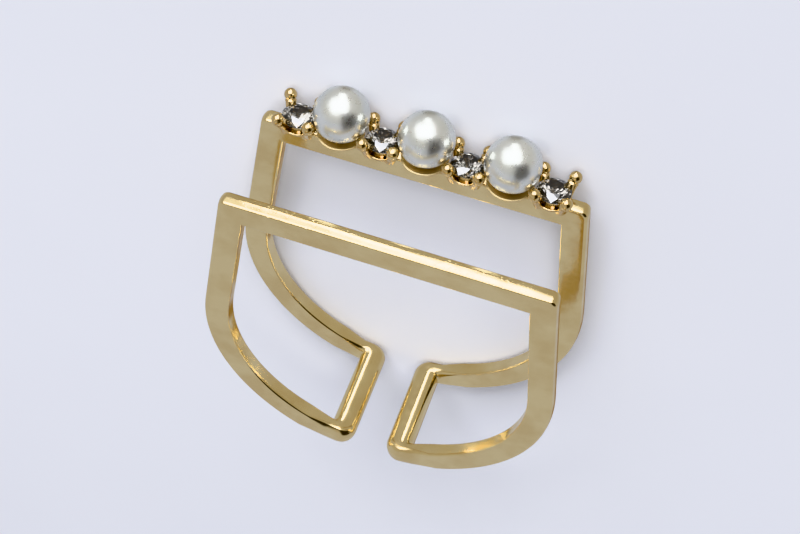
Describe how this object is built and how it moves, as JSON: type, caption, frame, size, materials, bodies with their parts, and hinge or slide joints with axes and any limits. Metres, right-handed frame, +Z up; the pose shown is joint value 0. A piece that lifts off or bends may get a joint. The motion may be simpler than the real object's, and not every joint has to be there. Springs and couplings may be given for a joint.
{
  "type": "pearl ring",
  "caption": "Open two-bar finger ring: a plain D-shaped band and a matching band with a row of pearls and clear stones, joined by crossbars at the gap.",
  "frame": {"origin": "middle of the foot of the bounding box, on the surface that the ring lies on", "axes": "+Z up from the surface, along the finger's axis but for the tip of 2.8 degrees onto the pearls; +Y towards the flat bars and the pearls; +X from left to right along the bars"},
  "size_m": [0.02, 0.0232, 0.0078],
  "materials": {
    "gold_plate": "polished pale gold plate",
    "pearl": "pearl lustre, white",
    "clear_stone": "clear, faceted and polished"
  },
  "bodies": {
    "root": {"frame": "gold_plate", "pearl_left": "pearl", "pearl_middle": "pearl", "pearl_right": "pearl", "stone_1": "clear_stone", "stone_2": "clear_stone", "stone_3": "clear_stone", "stone_4": "clear_stone"}
  },
  "joints": []
}
